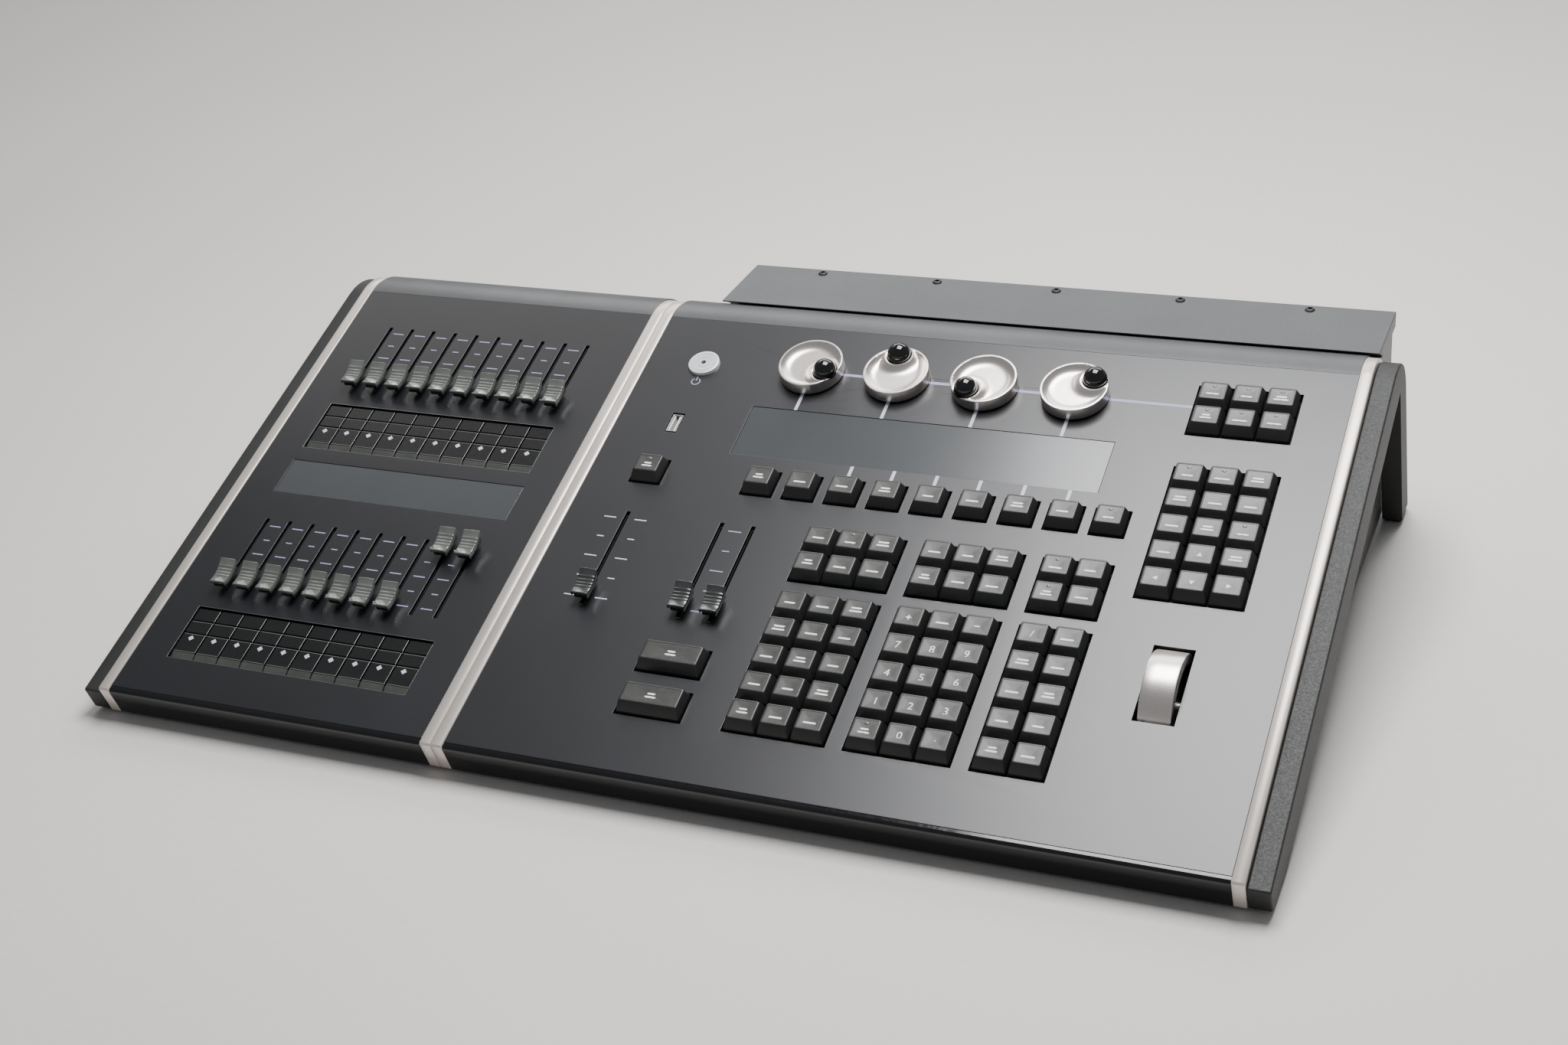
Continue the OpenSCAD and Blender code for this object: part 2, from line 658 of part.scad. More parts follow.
ball_turn = [-28, 98, 233, 33];     // where each encoder's ball rests, in degrees
ball_out = 12.8;                    // ball's centre from the encoder's axis
module encoder(i) {
  base = 0.6;
  dish = 1.2;
  rim = 2;
  ball_z = enc_h + 0.5;
  on_face() translate([enc_x + (i - 1) * enc_pitch, enc_y, 0]) rotate([0, 0, ball_turn[i - 1]]) {
    color("#c9c6bf") difference() {
      union() {
        translate([0, 0, base]) cylinder(h = enc_h - base, r = enc_d / 2);
        translate([0, 0, -plate_t - 6.5]) cylinder(h = plate_t + 7.5, r = shaft_r);
      }
      translate([0, 0, enc_h - dish]) cylinder(h = 3, r = enc_d / 2 - rim);
      translate([ball_out, 0, ball_z]) sphere(ball_d / 2 + 0.25);
    }
    color("black") translate([ball_out, 0, ball_z]) sphere(ball_d / 2);
  }
}

module level_wheel() {
  color("#c4c2bd") on_face() translate([wheel_x, wheel_y, -wheel_z]) rotate([0, 90, 0]) {
    cylinder(h = wheel_w, r = wheel_r, center = true, $fn = 96);
    cylinder(h = wheel_w + 12, r = shaft_r, center = true);
  }
}

module power_button() {
  color("#cfcfcf") on_face()
    translate([master_x, button_y, -plate_t - 4]) cylinder(h = plate_t + 6, r = power_d / 2);
}

console_base_pan();
console_face_plate();
front_lips();
rear_covers();
trim_strips();
side_cheeks();
rubber_feet();
rear_box();
rear_box_lid();
rear_connectors();
wing_base_pan();
wing_face_plate();
display_panels();
circuit_boards();
usb_socket();
fader_bodies();
control_mounts();
key_guides();
dock_blocks();
level_wheel();
power_button();
blackout_key();
stop_key();
run_key();
number_keys();
left_keys();
right_keys();
upper_keys();
page_keys();
focus_keys();
screen_keys();
bump_keys(1);  // bump_keys_rear
bump_keys(0);  // bump_keys_front
for (i = [1:4]) encoder(i);
for (i = [1:3]) master_fader(i);
for (i = [1:fader_count]) {
  wing_fader_part(1, i);
  wing_fader_part(0, i);
}
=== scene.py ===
import json
import math

import bmesh
import bpy
from mathutils import Matrix, Vector


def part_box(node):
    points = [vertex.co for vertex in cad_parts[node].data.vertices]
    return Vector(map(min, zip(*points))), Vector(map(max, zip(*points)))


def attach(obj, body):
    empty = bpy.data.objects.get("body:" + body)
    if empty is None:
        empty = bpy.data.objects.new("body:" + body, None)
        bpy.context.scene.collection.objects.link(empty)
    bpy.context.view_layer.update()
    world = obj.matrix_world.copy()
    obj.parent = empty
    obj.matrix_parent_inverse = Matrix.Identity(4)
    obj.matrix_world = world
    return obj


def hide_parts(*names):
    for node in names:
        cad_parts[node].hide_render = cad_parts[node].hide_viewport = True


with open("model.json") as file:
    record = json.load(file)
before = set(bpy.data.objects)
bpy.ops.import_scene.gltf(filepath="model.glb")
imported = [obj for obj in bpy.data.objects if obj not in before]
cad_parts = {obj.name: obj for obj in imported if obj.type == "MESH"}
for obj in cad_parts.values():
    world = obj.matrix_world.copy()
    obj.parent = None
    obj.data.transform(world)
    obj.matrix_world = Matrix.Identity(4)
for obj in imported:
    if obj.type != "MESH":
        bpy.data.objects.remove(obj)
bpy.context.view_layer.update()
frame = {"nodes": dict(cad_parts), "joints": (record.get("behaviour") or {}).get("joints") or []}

# ---- Camera, floor and light ----
# The view of someone who stands at the table's right front corner. The floor is plain and pale.
# The soft box overhead is what the sloping face mirrors; the one at the left fills the shadows.
lens = bpy.data.cameras.new("camera")
lens.lens = 51.2
lens.sensor_width = 36.0
camera = bpy.data.objects.new("camera", lens)
camera.location = (0.5004, -1.0207, 0.6908)
camera.rotation_euler = [math.radians(turn) for turn in (60.69, 5.35, 22.32)]
bpy.context.scene.collection.objects.link(camera)
bpy.context.scene.camera = camera


def soft_box(name, place, target, width, depth, power, tint):
    """A rectangular studio lamp at `place` that faces `target`."""
    lamp = bpy.data.lights.new(name, "AREA")
    lamp.shape = "RECTANGLE"
    lamp.size, lamp.size_y = width, depth
    lamp.energy = power
    lamp.color = tint
    box = bpy.data.objects.new(name, lamp)
    box.location = place
    box.rotation_euler = (Vector(target) - Vector(place)).to_track_quat("-Z", "Y").to_euler()
    bpy.context.scene.collection.objects.link(box)


soft_box("overhead", (0.17, 0.28, 1.30), (0.17, 0.0, 0.0), 0.72, 0.80, 31.0, (0.985, 0.985, 1.0))
soft_box("rear_wash", (-0.3, 1.9, 1.3), (0.0, 0.0, 0.1), 2.4, 0.9, 24.0, (1.0, 0.99, 0.97))
soft_box("left_fill", (-1.4, 1.2, 1.4), (-0.2, 0.0, 0.0), 0.8, 0.8, 3.5, (1.0, 0.97, 0.93))

world = bpy.data.worlds.new("room")
world.use_nodes = True
world.node_tree.nodes["Background"].inputs["Color"].default_value = (0.93, 0.95, 1.0, 1.0)
world.node_tree.nodes["Background"].inputs["Strength"].default_value = 0.26
bpy.context.scene.world = world


def linear(code):
    """The linear colour of an sRGB hex value."""
    parts = [int(code[i : i + 2], 16) / 255 for i in (1, 3, 5)]
    return [c / 12.92 if c <= 0.04045 else ((c + 0.055) / 1.055) ** 2.4 for c in parts] + [1.0]


def add(tree, kind, inputs, **settings):
    """One node with its settings. An input is a value, or a socket to link from."""
    made = tree.nodes.new(kind)
    for name, value in settings.items():
        setattr(made, name, value)
    for name, value in inputs.items():
        if isinstance(value, bpy.types.NodeSocket):
            tree.links.new(value, made.inputs[name])
        else:
            made.inputs[name].default_value = value
    return made


def finish(name, low, high, cloud, grain, depth, rough, spread, shader, stretch=(1, 1, 1)):
    """A finish that drifts between two tones over `cloud` mm. Its grain is `grain` mm across and
    `depth` mm high, and makes the roughness vary by `spread`. `shader` holds the plain sockets."""
    material = bpy.data.materials.new(name)
    material.use_nodes = True
    tree = material.node_tree
    tree.nodes.clear()
    where = add(tree, "ShaderNodeTexCoord", {})
    along = add(tree, "ShaderNodeMapping", {"Vector": where.outputs["Object"], "Scale": stretch})
    here = along.outputs["Vector"]
    drift = add(tree, "ShaderNodeTexNoise", {"Vector": here, "Scale": 1000 / cloud, "Detail": 3.0})
    grit = add(tree, "ShaderNodeTexNoise", {"Vector": here, "Scale": 1000 / grain, "Detail": 2.0})
    both = add(tree, "ShaderNodeMath", {0: drift.outputs["Fac"], 1: grit.outputs["Fac"]}, operation="ADD")
    tone = add(tree, "ShaderNodeMapRange", {"Value": both.outputs[0], "From Min": 0.7, "From Max": 1.3})
    # A Mix node set to colours takes them in sockets 6 and 7, and gives the result in output 2.
    tones = {0: tone.outputs[0], 6: linear(low), 7: linear(high)}
    colour = add(tree, "ShaderNodeMix", tones, data_type="RGBA")
    swing = {"From Min": 0.3, "From Max": 0.7, "To Min": rough - spread, "To Max": rough + spread}
    gloss = add(tree, "ShaderNodeMapRange", {"Value": grit.outputs["Fac"], **swing})
    bump = add(tree, "ShaderNodeBump", {"Height": grit.outputs["Fac"], "Distance": depth / 1000})
    surface = add(
        tree,
        "ShaderNodeBsdfPrincipled",
        {"Base Color": colour.outputs[2], "Roughness": gloss.outputs[0], "Normal": bump.outputs[0], **shader},
    )
    add(tree, "ShaderNodeOutputMaterial", {"Surface": surface.outputs[0]})
    return material


floor_mesh = bpy.data.meshes.new("floor")
floor_mesh.from_pydata([(-6, -6, 0), (6, -6, 0), (6, 6, 0), (-6, 6, 0)], [], [(0, 1, 2, 3)])
floor = bpy.data.objects.new("floor", floor_mesh)
floor_mesh.materials.append(finish("pale_floor", "#d9d6d1", "#dedbd6", 400, 4, 0.01, 0.6, 0.05, {}))
bpy.context.scene.collection.objects.link(floor)

# ---- Face plates ----
# Two aluminium plates that carry every control. Each is covered by one sheet of screen-printed
# polyester, black on the back with a fine satin texture on top, so the face mirrors softly.
spins = {joint["name"]: joint for joint in frame["joints"]}
out = Vector(spins["encoder_1_spin"]["axis"])
foot = Vector(spins["encoder_1_spin"]["pos_m"])
face = Matrix(((1, 0, 0, 0), (0, out.z, out.y, foot.y), (0, -out.y, out.z, foot.z), (0, 0, 0, 1)))
face = face @ Matrix.Scale(0.001, 4)
onto_face = face.inverted()


def span(node, keep=lambda point: True):
    """Lowest and highest corner of a CAD node along the face's own axes, in millimetres."""
    points = [onto_face @ vertex.co for vertex in frame["nodes"][node].data.vertices]
    points = [point for point in points if keep(point)]
    return Vector(map(min, *points)), Vector(map(max, *points))


def dress(node, material, edge, weight=60):
    """Gives a CAD node its finish, and breaks its sharp edges by `edge` mm as the real ones are.
    The higher `weight` is, the more the largest faces rule how their corners are shaded."""
    piece = frame["nodes"][node]
    for place in piece.material_slots:
        place.material = material
    weld = piece.modifiers.new("weld", "WELD")
    weld.merge_threshold = 1e-6
    bevel = piece.modifiers.new("broken_edge", "BEVEL")
    bevel.width = edge / 1000
    bevel.segments = 2
    bevel.limit_method = "ANGLE"
    bevel.angle_limit = math.radians(40)
    shade = piece.modifiers.new("flat_faces", "WEIGHTED_NORMAL")
    shade.weight = weight


film = {"IOR": 1.57, "Coat Weight": 0.25, "Coat Roughness": 0.4}
overlay = finish("printed_polyester", "#0e0f12", "#15161b", 60, 0.35, 0.012, 0.33, 0.04, film)
dress("console_face_plate", overlay, 0.25, 100)
dress("wing_face_plate", overlay, 0.25, 100)

# ---- Front lips ----
# A strip along the front of each plate, moulded in black ABS and polished. Its rounded top edge
# catches a thin bright line along the whole desk.
gloss_abs = finish("polished_abs", "#0b0b0c", "#101012", 90, 2.0, 0.004, 0.12, 0.03, {"IOR": 1.54})
dress("front_lips", gloss_abs, 0.3)

# ---- Rear covers ----
# The rounded backs are moulded in ABS with a fine spark-eroded texture, a shade lighter than the
# face, and wrap over the rear edge.
textured_abs = finish("textured_abs", "#3a3c3e", "#484a4c", 35, 0.8, 0.05, 0.4, 0.07, {"IOR": 1.54})
dress("rear_covers", textured_abs, 0.3)

# ---- Side cheeks ----
# End pieces with a sloping rail and a rear leg, moulded in glass-filled nylon. The surface is
# dull, with a coarse grain, and the edges are well rounded.
nylon = finish("glass_filled_nylon", "#141514", "#1f201f", 30, 1.1, 0.07, 0.6, 0.07, {"IOR": 1.53})
dress("side_cheeks", nylon, 1.2)

# ---- Pans, rear box and lid ----
# Folded steel with a grey powder coat, whose orange peel breaks up the reflections. The lid
# laps over the box, whose cut sockets and vents keep their punched edges.
powder = finish("powder_coat", "#3b3d3f", "#464849", 45, 1.3, 0.06, 0.44, 0.06, {"IOR": 1.5})
for node in ("console_base_pan", "wing_base_pan", "rear_box_lid"):
    dress(node, powder, 0.5, 100)
for place in frame["nodes"]["rear_box"].material_slots:
    place.material = powder

# ---- Rubber feet ----
# Pads moulded in black nitrile rubber, slightly dusty. They are glued under the desk to stop it
# sliding.
rubber = finish("nitrile_rubber", "#0e0e0e", "#181817", 8, 0.5, 0.06, 0.75, 0.08, {"IOR": 1.52})
dress("rubber_feet", rubber, 0.6)

# ---- Rear connectors ----
# Housings moulded in black PBT with a fine texture. They are set in the holes of the rear box's
# wall.
pbt = finish("moulded_pbt", "#141516", "#1c1d1e", 12, 0.6, 0.02, 0.35, 0.05, {"IOR": 1.57})
dress("rear_connectors", pbt, 0.4)

# ---- Screens ----
# Each screen is a liquid-crystal panel behind a window of smoked acrylic with a hazed surface.
# The window is bonded into its opening in the face plate.
glaze = {"IOR": 1.49, "Coat Weight": 0.5, "Coat Roughness": 0.18}
acrylic = finish("hazed_acrylic", "#3a3d3f", "#414446", 70, 0.3, 0.006, 0.24, 0.03, glaze)
dress("display_panels", acrylic, 0.15)

# ---- Inside parts ----
# Control boards, fader bodies, shaft mounts and key guides hang under the plates. They show only
# through the slots and key wells, so they are dark there.
solder_mask = finish("solder_mask", "#0b3a22", "#115233", 20, 0.8, 0.02, 0.3, 0.05, {"IOR": 1.55})
dress("circuit_boards", solder_mask, 0.2)
plated = finish(
    "plated_steel", "#8f9294", "#a3a6a8", 15, 0.4, 0.01, 0.33, 0.06, {"Metallic": 1.0}, (1, 6, 1)
)
for node in ("usb_socket", "dock_blocks"):
    dress(node, plated, 0.2)
blackened = finish("blackened_steel", "#060606", "#0b0b0b", 15, 0.5, 0.01, 0.6, 0.06, {"IOR": 1.6})
dress("fader_bodies", blackened, 0.2)
cast_metal = finish("cast_zinc", "#6f7376", "#83878a", 12, 0.7, 0.03, 0.45, 0.06, {"Metallic": 1.0})
dress("control_mounts", cast_metal, 0.3)
guide_abs = finish("guide_abs", "#08090a", "#0f1011", 20, 0.7, 0.02, 0.55, 0.06, {"IOR": 1.54})
dress("key_guides", guide_abs, 0.2)


# ---- Printed marks ----
# White and lavender ink, screen printed on the overlay: the scales beside the faders, the lines
# that link the encoders to their screen, and the power pictogram.
def block(bm, low, high):
    """A flat block between two corners, in face millimetres."""
    made = bmesh.ops.create_cube(bm, size=1.0)["verts"]
    for vertex in made:
        vertex.co = [a + (b - a) * (t + 0.5) for a, b, t in zip(low, high, vertex.co)]


def make_piece(name, bm, body, materials, nodes=(), place=face, crease=38):
    """Turns a bmesh in millimetres into a piece that rides on its body and stands for CAD nodes."""
    bmesh.ops.remove_doubles(bm, verts=bm.verts, dist=1e-4)
    bmesh.ops.recalc_face_normals(bm, faces=bm.faces)
    bm.transform(place)
    mesh = bpy.data.meshes.new(name)
    bm.to_mesh(mesh)
    bm.free()
    for material in materials:
        mesh.materials.append(material)
    mesh.shade_smooth()
    mesh.set_sharp_from_angle(angle=math.radians(crease))
    piece = bpy.data.objects.new(name, mesh)
    bpy.context.scene.collection.objects.link(piece)
    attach(piece, body)
    if nodes:
        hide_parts(*nodes)
    return piece


INK = 0.04
white_ink = finish("white_ink", "#c2c5d6", "#d2d5e2", 6, 0.3, 0.004, 0.45, 0.05, {"IOR": 1.5})
lavender_ink = finish("lavender_ink", "#8f8fb0", "#9d9dbc", 6, 0.3, 0.004, 0.45, 0.05, {"IOR": 1.5})
faders = {
    "rear": [f"rear_fader_{i}" for i in range(1, 11)],
    "front": [f"front_fader_{i}" for i in range(1, 11)],
    "master": [f"master_fader_{i}" for i in range(1, 4)],
}


def track(fader):
    """Middle of a fader's slot on the face, and its travel, from its rest and its joint."""
    low, high = span(fader)
    least, most = [1000 * limit for limit in spins[fader + "_slide"]["range_m"]]
    return Vector(((low.x + high.x) / 2, (low.y + high.y) / 2 + (least + most) / 2, 0)), most - least


TICK = 0.75


def scale(bm, middle, travel, width):
    """A fader scale: five ticks over the travel, every second one short."""
    for step in range(-2, 3):
        reach = width / 2 if step % 2 == 0 else width / 3.6
        y = middle.y + step * travel / 4
        block(bm, (middle.x - reach, y - TICK / 2, 0), (middle.x + reach, y + TICK / 2, INK))


ticks = bmesh.new()
for bank in ("rear", "front"):
    tracks = [track(fader) for fader in faders[bank]]
    for (left, travel), (right, _) in zip(tracks, tracks[1:]):
        scale(ticks, (left + right) / 2, travel, 7.6)
grand, left_pair, right_pair = [track(fader) for fader in faders["master"]]
grand_ticks = bmesh.new()
for side in (-9.75, 9.75):
    scale(grand_ticks, grand[0] + Vector((side, 0, 0)), grand[1], 7.6)
make_piece("grand_master_scale", grand_ticks, "root", [white_ink])
scale(ticks, (left_pair[0] + right_pair[0]) / 2, left_pair[1], 8.0)
make_piece("fader_scales", ticks, "root", [lavender_ink])

knobs = [onto_face @ Vector(spins[f"encoder_{i}_spin"]["pos_m"]) for i in range(1, 5)]
wing_end = span("wing_face_plate")[1].x
window = span("display_panels", lambda point: point.x > wing_end and point.z > -1)
knob_reach = 19.75
LINE_HALF = 1
lines = bmesh.new()
for knob in knobs:
    rear = knob.y - knob_reach + 2
    block(lines, (knob.x - LINE_HALF, window[1].y + 0.4, 0), (knob.x + LINE_HALF, rear, INK))
key_low, key_high = span("blackout_key")
key_base = key_high.x - key_low.x
first_key, last_key = span("screen_keys")
screen_pitch = (last_key.x - first_key.x - key_base) / 8
for i in range(2, 8):
    x = first_key.x + key_base / 2 + i * screen_pitch - 1.6
    block(lines, (x - LINE_HALF, window[0].y - 8, 0), (x + LINE_HALF, window[0].y - 0.4, INK))
make_piece("screen_lines", lines, "root", [white_ink])
link = bmesh.new()
end = span("focus_keys")[0].x - 1.5
block(link, (knobs[0].x, knobs[0].y - LINE_HALF, 0), (end, knobs[0].y + LINE_HALF, INK))
make_piece("encoder_link", link, "root", [lavender_ink])


def arc(radius, start, stop, count):
    """Points on a circle, from one angle in degrees to another."""
    angles = [math.radians(start + (stop - start) * i / count) for i in range(count + 1)]
    return [(radius * math.cos(angle), radius * math.sin(angle)) for angle in angles]


low, high = span("power_button")
button = Vector(((low.x + high.x) / 2, (low.y + high.y) / 2, 0))
pictogram = bmesh.new()
x, y = button.x, button.y - 15.0
outer = arc(3.0, 125, 415, 28)
inner = arc(2.3, 125, 415, 28)
ring = []
for a, b in zip(outer, inner):
    ring.append([(x + p[0], y + p[1], z) for p, z in ((a, 0), (a, INK), (b, INK), (b, 0))])


def loft(bm, rings, second_from=None):
    """Skins closed rings of points, one after another, and caps the first and the last. From ring
    `second_from` on, the skin takes the piece's second material."""
    rows = [[bm.verts.new(point) for point in ring] for ring in rings]
    bm.faces.new(rows[0][::-1])
    for count, (a, b) in enumerate(zip(rows, rows[1:])):
        for i in range(len(a)):
            facet = bm.faces.new((a[i - 1], a[i], b[i], b[i - 1]))
            facet.material_index = int(second_from is not None and count >= second_from)
    last = bm.faces.new(rows[-1])
    last.material_index = int(second_from is not None)


loft(pictogram, ring)
block(pictogram, (x - 0.35, y + 0.6, 0), (x + 0.35, y + 4, INK))
make_piece("power_pictogram", pictogram, "root", [lavender_ink])

# ---- Trim strips ----
# Four aluminium strips in champagne silver, with rounded edges. They run over the face and down the
# rounded back. Two meet where the fader wing docks, with a fine groove between them.
trim_paint = finish(
    "champagne_paint", "#d5cbc1", "#e0d8ce", 50, 0.3, 0.008, 0.34, 0.05, {"Metallic": 0.45, "IOR": 1.5}
)
low, high = span("trim_strips")
rear_end = span("console_face_plate")[1].y
nose = high.y - rear_end


def strip_outline(x, inset):
    """Side view of a strip at x: flat over the face, round at the back, drawn in by `inset`."""
    drop = (high.z - nose) - low.z - inset
    reach = nose - inset
    front, crown, chamfer = low.y + inset, high.z - inset, 1.0
    points = [(front, low.z + inset), (front, crown - chamfer), (front + chamfer, crown)]
    bend = arc(reach, 90, math.degrees(-math.asin(drop / reach)), 40)
    points += [(rear_end + py, high.z - nose + pz) for py, pz in bend]
    return [(x, py, pz) for py, pz in points]


wing_left, wing_right = [end.x for end in span("wing_face_plate")]
console_left, console_right = [end.x for end in span("console_face_plate")]
trim_w = wing_left - low.x
strips = bmesh.new()
for left in (low.x, wing_right, console_left - trim_w, console_right):
    edges = [(0.08, 0.5), (0.2, 0.18), (0.5, 0.0)]
    edges += [(trim_w - along, inset) for along, inset in reversed(edges)]
    loft(strips, [strip_outline(left + along, inset) for along, inset in edges])
make_piece("trim_strips_rounded", strips, "root", [trim_paint], ["trim_strips"])

# ---- Well edges ----
# Thin strips of bright metal laid flat on the face round the two bump key wells. They stand for
# the bare aluminium rims cut through the overlay and paint the highlight those rims catch.
WELL_GAP = 0.6
RIM_HALF = 0.14
# A painted highlight: bright metal colour for the flat strips round each well.
well_rim_highlight = finish(
    "cut_aluminium_highlight", "#8e9092", "#a9abad", 4, 0.3, 0.004, 0.3, 0.05, {"Metallic": 1.0}, (1, 5, 1)
)
edges = bmesh.new()
for node in ("bump_keys_rear", "bump_keys_front"):
    low, high = span(node, lambda point: point.z > -3)
    left, right = low.x - WELL_GAP, high.x + WELL_GAP
    front, back = low.y - WELL_GAP, high.y + WELL_GAP
    for x0, y0, x1, y1 in (
        (left, front, right, front),
        (left, back, right, back),
        (left, front, left, back),
        (right, front, right, back),
    ):
        block(edges, (x0 - RIM_HALF, y0 - RIM_HALF, -0.1), (x1 + RIM_HALF, y1 + RIM_HALF, INK))
make_piece("well_edge_highlights", edges, "root", [well_rim_highlight])

# ---- Service socket insert ----
# Two white ribs inside the service socket guide the plug. They are moulded in polyamide and the
# socket's metal shell holds them.
waxy = {"IOR": 1.53, "Subsurface Weight": 0.1}
socket_pa = finish("natural_polyamide", "#dedad0", "#e9e6dd", 4, 0.4, 0.01, 0.4, 0.05, waxy)
low, high = span("usb_socket", lambda point: point.z > -2)
middle = (low + high) / 2
tongue = bmesh.new()
for side in (-1.75, 1.75):
    x = middle.x + side
    block(tongue, (x - 0.6, middle.y - 5.9, -9.0), (x + 0.6, middle.y + 5.9, -0.7))
make_piece("usb_socket_tongue", tongue, "root", [socket_pa])

# ---- Lid screws ----
# Button-head screws in blackened steel, with a drive pocket in the middle. They hold the lid of
# the rear box along its rear edge.
lid_low, lid_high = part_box("rear_box_lid")
in_mm = Matrix.Scale(0.001, 4)
screws = bmesh.new()


def turns(count):
    """Angles of `count` even steps round a circle."""
    return [2 * math.pi * k / count for k in range(count)]


for share in (0.12, 0.31, 0.5, 0.69, 0.88):
    x = 1000 * (lid_low[0] + share * (lid_high[0] - lid_low[0]))
    y, z = 1000 * lid_high[1] - 6.5, 1000 * lid_high[2]
    head = [(3.0, -0.2), (3.0, 0.25), (2.6, 0.8), (1.9, 1.15), (1.45, 1.2), (1.35, 0.2)]
    loft(screws, [[(x + r * math.cos(a), y + r * math.sin(a), z + h) for a in turns(48)] for r, h in head])
make_piece("lid_screws", screws, "root", [blackened], (), in_mm)

# ---- Round and display sockets ----
# The round data sockets have a nickel shell round an insert with five gilt pins. The display
# sockets have a nickel frame round a dark insert with a row of twelve gilt contacts.
gilt = finish("gilt_contact", "#c9a24a", "#d8b25c", 3, 0.3, 0.002, 0.22, 0.04, {"Metallic": 1.0})
wall = 1000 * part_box("rear_box")[1][1]
behind = [1000 * vertex.co for vertex in frame["nodes"]["rear_connectors"].data.vertices]
behind = [point for point in behind if point.y > wall]
mouths = sorted(point.x for point in behind)
MOUTH_GAP = 6.0
groups = [[mouths[0]]]
for x in mouths[1:]:
    if x - groups[-1][-1] > MOUTH_GAP:
        groups.append([])
    groups[-1].append(x)
ends = [group[0] for group in groups if group[-1] - group[0] < 0.1]
groups += [[ends[i], ends[i + 1]] for i in range(0, len(ends) - 1, 2)]
shells, pins = bmesh.new(), bmesh.new()
PIN_RADIUS = 4.6
for group in groups:
    x, half = (group[0] + group[-1]) / 2, (group[-1] - group[0]) / 2
    near = [point for point in behind if abs(point.x - x) < half + 0.1]
    bottom, top, out_y = min(p.z for p in near), max(p.z for p in near), max(p.y for p in near)
    z, tall = (bottom + top) / 2, (top - bottom) / 2
    if abs(half - tall) < 0.5 and half > 9:  # a round socket, as wide as it is tall
        shell = [(0.2, -0.3), (0.2, 0.25), (0.9, 0.35), (2.0, 0.35), (2.2, 0.0), (2.2, -0.2)]
        rings = []
        for inset, y in shell:
            r = half - inset
            rings.append([(x + r * math.cos(a), out_y + y, z + r * math.sin(a)) for a in turns(48)])
        loft(shells, rings, 4)
        for k in range(5):
            a = math.radians(-20 + 55 * k)
            cx, cz = x + PIN_RADIUS * math.cos(a), z + PIN_RADIUS * math.sin(a)
            rings = []
            for r, y in ((1.0, -0.2), (1.0, 0.2), (0.7, 0.3), (0.3, 0.35)):
                rings.append([(cx + r * math.cos(t), out_y + y, cz + r * math.sin(t)) for t in turns(12)])
            loft(pins, rings)
    elif half > 15:  # a display socket, wide and low
        rings = []
        for inset, y in ((0.4, -0.3), (0.4, 0.25), (0.8, 0.45), (1.5, 0.45), (1.7, 0.0), (1.7, -0.2)):
            wide, high = half - inset, tall - inset
            corners = ((-wide, -high), (wide, -high), (wide, high), (-wide, high))
            rings.append([(x + px, out_y + y, z + pz) for px, pz in corners])
        loft(shells, rings, 4)
        for k in range(12):
            px = x - half + 4.4 + k * (2 * half - 8.8) / 11
            block(pins, (px - 0.4, out_y - 0.2, z - 1.3), (px + 0.4, out_y + 0.25, z + 1.3))
make_piece("rear_socket_shells", shells, "root", [plated, pbt], (), in_mm)
make_piece("rear_socket_pins", pins, "root", [gilt], (), in_mm)

# ---- Key caps ----
# Double-width and single caps, moulded in black ABS. Inside its rounded edge the top is painted a
# lighter grey: a painted reflection of the light above. The walls lean in, the top sits a little to
# the rear and is dished for the finger.
def rounded(w, d, r, y, z):
    """A rectangle with round corners, w by d, centred at (0, y)."""
    ring = []
    for start, sx, sy in ((0, 1, 1), (90, -1, 1), (180, -1, -1), (270, 1, -1)):
        for px, py in arc(r, start, start + 90, 3):
            ring.append((sx * (w / 2 - r) + px, y + sy * (d / 2 - r) + py, z))
    return ring


CAP_TOP = 6.3
CAP_BACK = 1.2
STEM_END = -9.5


def dish(x, y, half):
    """Height of a cap's dished top at x, y from the middle of the cap."""
    return CAP_TOP - 0.15 - 0.3 * (1 - min(1.0, (x / half) ** 2 + ((y - CAP_BACK) / 6) ** 2))


def key_cap(bm, x, y, wide):
    """One cap with its stem; `wide` is how much wider than one unit it is."""
    base, top_w, top_d = key_base + wide, 14.4 + wide, 12.8
    walls = [
        rounded(base - 1.2, key_base - 1.2, 0.6, 0, -0.9),
        rounded(base, key_base, 1.0, 0, -1.5),
        rounded(base, key_base, 1.0, 0, 1.0),
        rounded(base - 0.35, key_base - 0.35, 1.0, 0.02, 1.5),
        rounded(top_w + 0.9, top_d + 0.9, 1.1, CAP_BACK - 0.1, CAP_TOP - 0.75),
        rounded(top_w + 0.25, top_d + 0.25, 1.1, CAP_BACK, CAP_TOP - 0.2),
        rounded(top_w - 0.5, top_d - 0.5, 1.0, CAP_BACK, CAP_TOP),
        rounded(top_w - 1.6, top_d - 1.6, 0.8, CAP_BACK, CAP_TOP),
        rounded(top_w - 1.9, top_d - 1.9, 0.7, CAP_BACK, CAP_TOP - 0.15),
    ]
    half = top_w / 2
    for share in (0.75, 0.5, 0.25):
        ring = rounded((top_w - 1.9) * share, (top_d - 1.9) * share, 0.7 * share, CAP_BACK, 0)
        walls.append([(px, py, dish(px, py, half)) for px, py, _ in ring])
    walls = [[(x + px, y + py, pz) for px, py, pz in ring] for ring in walls]
    # From ring 7, inside the top's rounded edge, the cap takes the painted reflection colour.
    loft(bm, walls, second_from=7)
    block(bm, (x - 2.5, y - 2.5, STEM_END), (x + 2.5, y + 2.5, -1.0))


